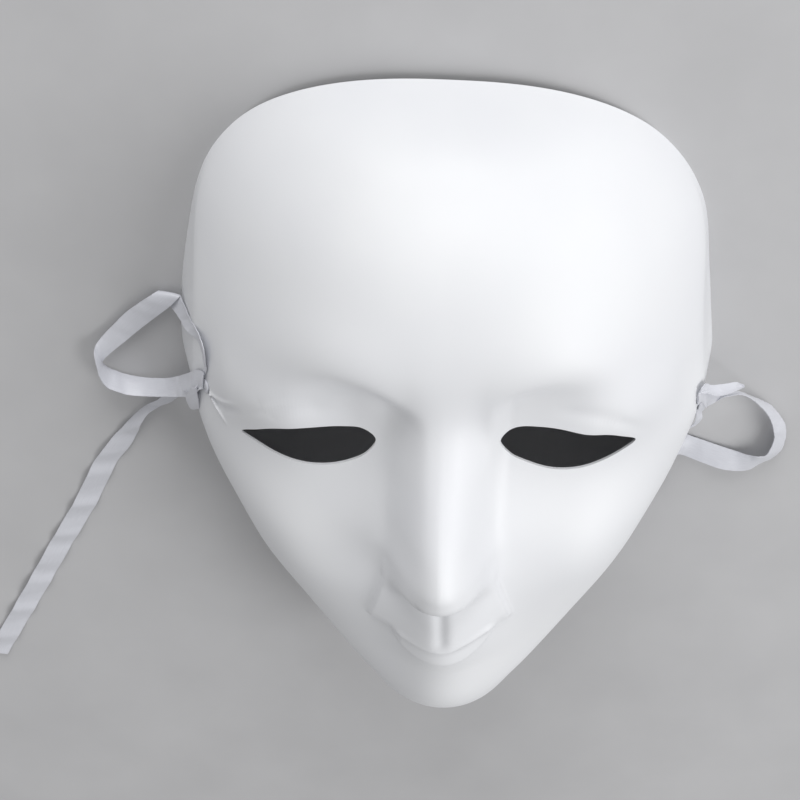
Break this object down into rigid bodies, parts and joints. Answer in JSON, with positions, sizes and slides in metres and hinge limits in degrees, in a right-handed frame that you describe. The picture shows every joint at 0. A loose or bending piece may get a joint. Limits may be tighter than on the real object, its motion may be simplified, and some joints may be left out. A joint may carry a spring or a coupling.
{
  "type": "mime mask",
  "caption": "Thin moulded plastic full-face mask with a calm blank face, open eyes, closed lips and satin ribbon ties at the temples.",
  "frame": {"origin": "centre of the shell's bounding box seen from above, on the plane the rim rests on; the ribbons don't count", "axes": "+Y along the face towards the forehead, +Z out of the face, +X to the right-hand side of the face as seen from the front"},
  "size_m": [0.2995, 0.2598, 0.0996],
  "materials": {
    "shell_plastic": "white thin moulded plastic with a soft sheen",
    "ribbon_satin": "white satin ribbon"
  },
  "bodies": {
    "root": {"mask_shell": "shell_plastic", "ribbon_left": "ribbon_satin", "ribbon_right": "ribbon_satin"}
  },
  "joints": []
}
